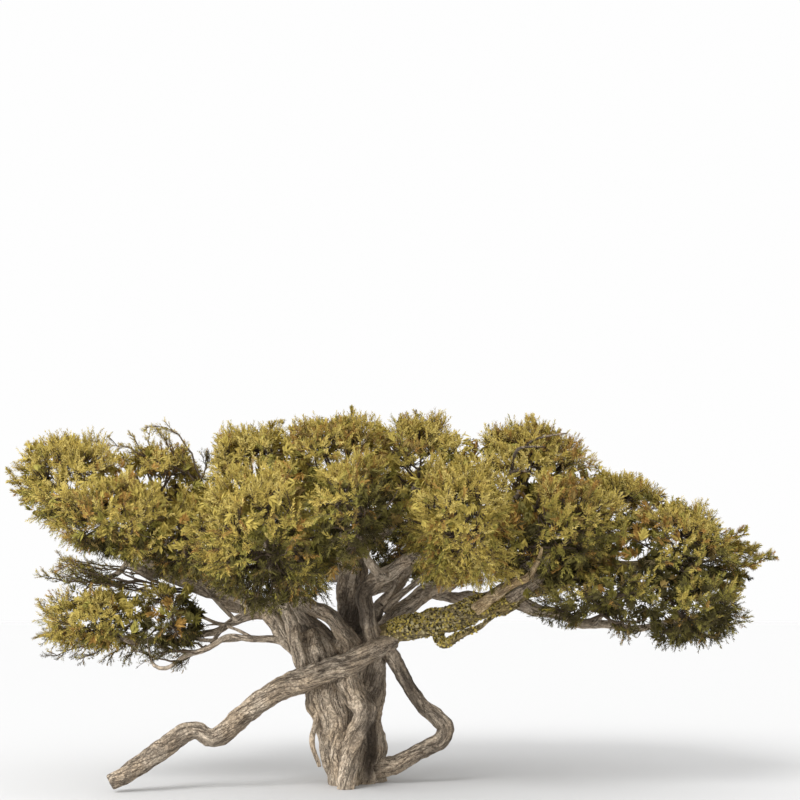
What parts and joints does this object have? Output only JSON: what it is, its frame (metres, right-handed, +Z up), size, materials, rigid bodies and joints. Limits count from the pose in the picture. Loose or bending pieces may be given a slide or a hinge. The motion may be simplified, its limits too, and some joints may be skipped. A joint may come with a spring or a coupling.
{
  "type": "olive tree",
  "caption": "Old, wide-crowned olive tree with a fluted trunk of joined stems, a low bare limb, a limb looped back to the foot and a flat spreading crown.",
  "frame": {"origin": "on the flat cut under the trunk, at ground level", "axes": "+Z up, +X along the crown's longest reach, -Y towards the tree's front"},
  "size_m": [9.09, 5.4416, 4.43],
  "materials": {
    "bark": "matt, fissured bark",
    "mossy_bark": "matt bark with moss and lichen",
    "dead_wood": "matt, bare dead wood",
    "leaves": "narrow leaves, slightly waxy"
  },
  "bodies": {
    "root": {"bough_back_centre_left": "bark", "bough_back_centre_right": "bark", "bough_back_left": "bark", "bough_back_right": "bark", "bough_centre_front": "bark", "bough_left_front": "bark", "bough_left_mid": "bark", "bough_low_left": "bark", "bough_right_upper": "bark", "bough_top_right_centre": "bark", "drooping_bough": "bark", "elbow_bough": "bark", "foliage_back_centre_left": "leaves", "foliage_back_centre_right": "leaves", "foliage_back_left": "leaves", "foliage_back_right": "leaves", "foliage_centre_front": "leaves", "foliage_centre_left_front": "leaves", "foliage_left_far": "leaves", "foliage_left_front": "leaves", "foliage_left_inner": "leaves", "foliage_left_mid": "leaves", "foliage_left_twigs": "leaves", "foliage_low_left": "leaves", "foliage_low_left_inner": "leaves", "foliage_right_far": "leaves", "foliage_right_far_low": "leaves", "foliage_right_front": "leaves", "foliage_right_low": "leaves", "foliage_right_mid": "leaves", "foliage_right_upper": "leaves", "foliage_top_centre": "leaves", "foliage_top_left": "leaves", "foliage_top_right": "leaves", "foliage_top_right_centre": "leaves", "inner_left_bough": "bark", "left_bough": "bark", "loop_limb_lower": "bark", "loop_limb_upper": "bark", "low_limb": "bark", "mossy_bough": "mossy_bark", "outer_left_bough": "bark", "rear_bough": "bark", "rear_right_bough": "bark", "rootlet": "bark", "snag": "dead_wood", "thin_left_bough": "bark", "trunk": "bark", "under_bough": "mossy_bark"}
  },
  "joints": []
}
